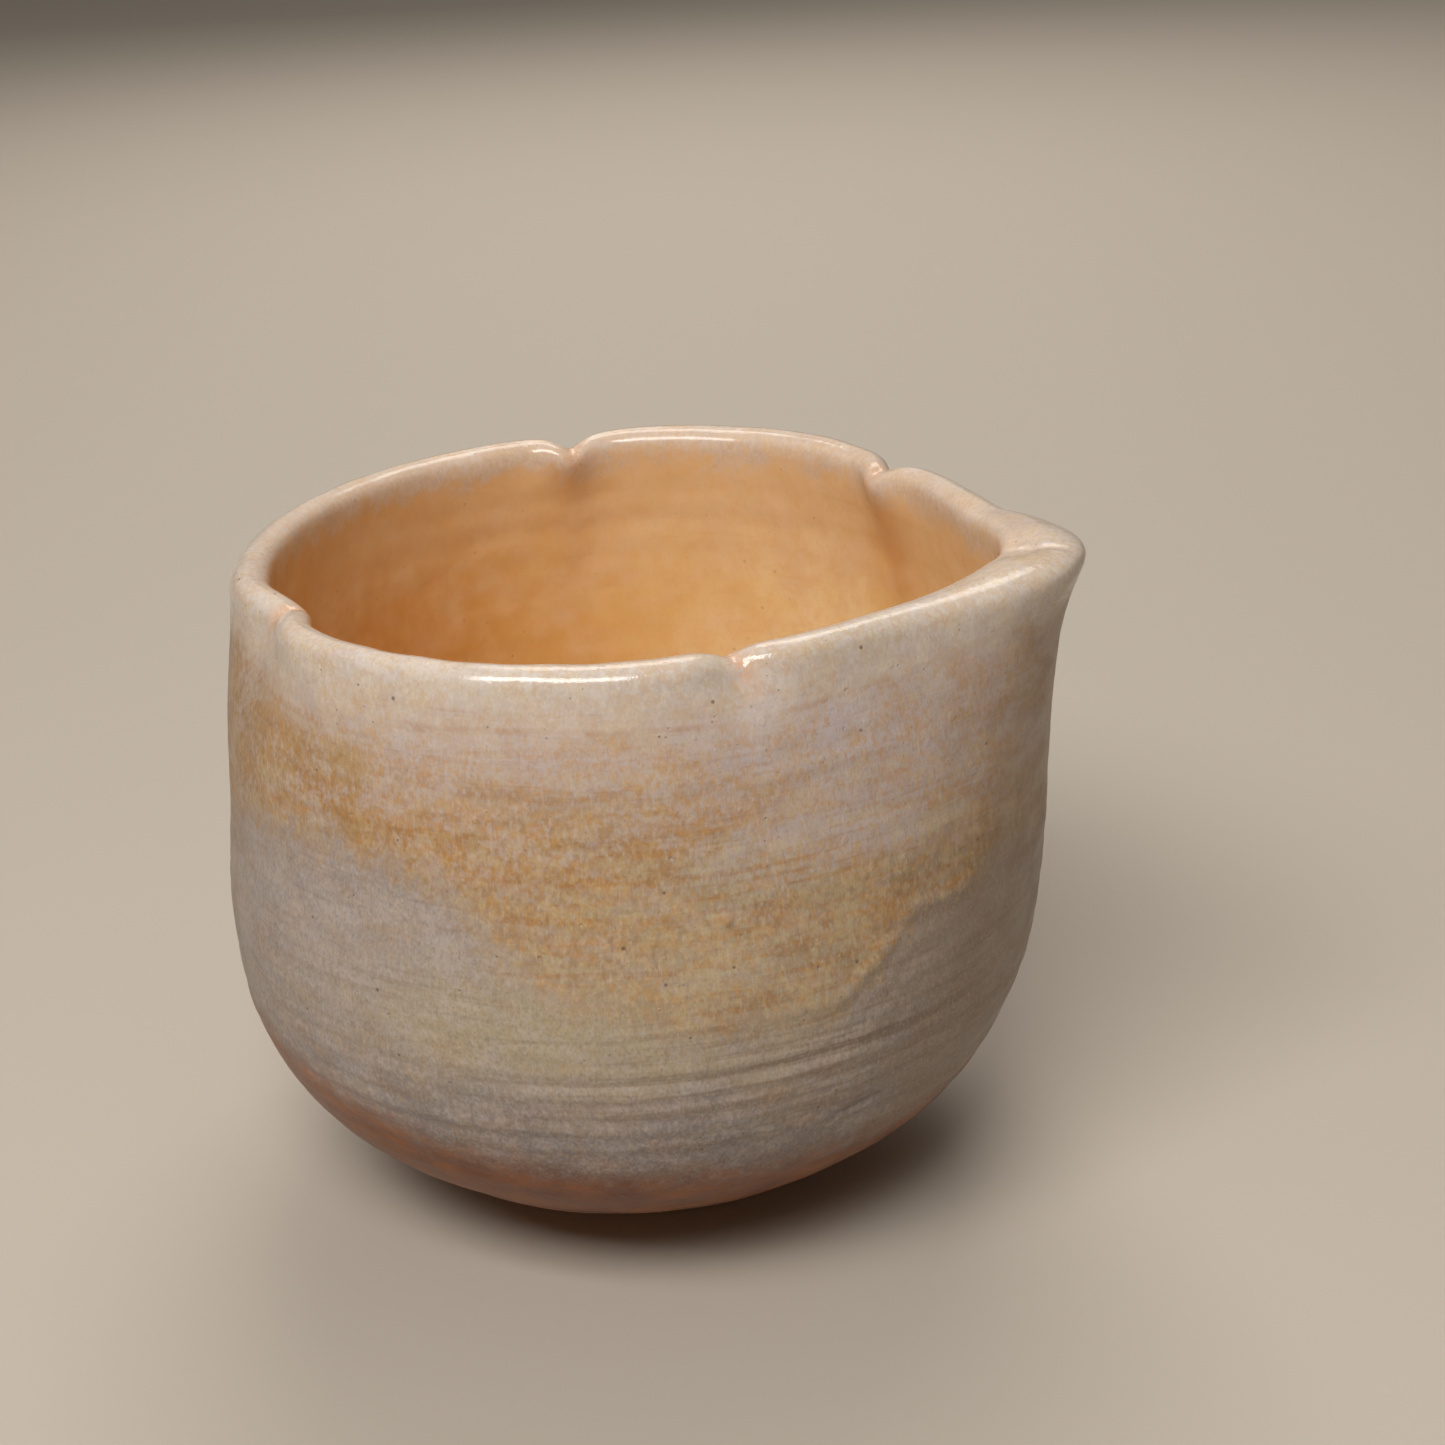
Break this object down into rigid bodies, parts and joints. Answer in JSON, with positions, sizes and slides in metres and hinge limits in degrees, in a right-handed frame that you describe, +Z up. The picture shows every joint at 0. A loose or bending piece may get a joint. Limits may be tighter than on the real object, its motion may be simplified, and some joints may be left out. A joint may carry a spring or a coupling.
{
  "type": "matcha bowl",
  "caption": "Deep stoneware tea bowl with a rounded belly, a pinched petal rim pulled into a pouring spout, a foot ring, and separate inside and outside glaze coats.",
  "frame": {"origin": "centre of the bounding box in plan, on the plane that the foot ring stands on", "axes": "+X towards the pouring spout, +Z up out of the bowl's mouth, +Y completes a right-handed frame"},
  "size_m": [0.1294, 0.12, 0.1007],
  "materials": {
    "clay": "bare fired stoneware, sandy brown flashed orange, dry and slightly rough",
    "foot_clay": "bare trimmed stoneware, orange brown, worn smooth on the standing edge",
    "outer_glaze": "satin to semi-gloss feldspar glaze, cream at the lip over pinkish grey and ochre, with speckles, pinholes and throwing lines",
    "inner_glaze": "semi-gloss honey orange glaze, browner in the hollows and paler towards the lip"
  },
  "bodies": {
    "root": {"clay_body": "clay", "foot_ring": "foot_clay", "outer_glaze": "outer_glaze", "inner_glaze": "inner_glaze"}
  },
  "joints": []
}
